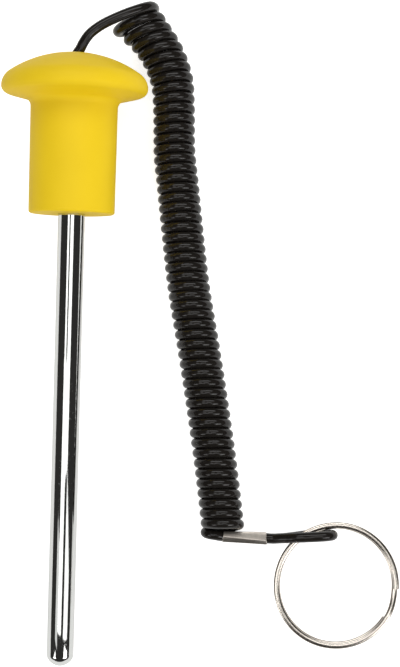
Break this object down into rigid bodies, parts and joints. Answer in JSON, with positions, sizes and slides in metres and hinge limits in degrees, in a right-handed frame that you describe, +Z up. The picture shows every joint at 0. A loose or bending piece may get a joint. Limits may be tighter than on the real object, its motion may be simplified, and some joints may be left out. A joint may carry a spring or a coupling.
{
  "type": "weight stack pin",
  "caption": "Weight stack selector pin with a mushroom knob, a round-nosed plated shank, and a coiled safety cord ending in a crimped loop and a split ring.",
  "frame": {"origin": "bottom centre of the bounding box of the knob and shank together, at the surface that the pin lies on", "axes": "+Z up from that surface; +Y along the pin in plan, from its nose towards its knob; +X from the pin towards its cord"},
  "size_m": [0.1459, 0.2367, 0.0518],
  "materials": {
    "knob_vinyl": "soft satin moulded plastic, yellow",
    "plated_steel": "bright chrome plating on turned steel",
    "sleeve_metal": "plain pressed aluminium",
    "cord_plastic": "glossy black extruded plastic",
    "ring_nickel": "polished nickel plating"
  },
  "bodies": {
    "pin": {"knob": "knob_vinyl", "shank": "plated_steel", "cord_stop": "sleeve_metal", "cord_lead": "cord_plastic", "cord_coil": "cord_plastic", "cord_tail": "cord_plastic", "ferrule": "sleeve_metal"},
    "ring": {"split_ring": "ring_nickel"}
  },
  "joints": [
    {"name": "ring_swing", "type": "hinge", "parent": "pin", "child": "ring", "pos_m": [0.0845, -0.0606, 0.0053], "axis": [-0.7912, -0.6115, 0], "range_deg": [0, 110]}
  ]
}
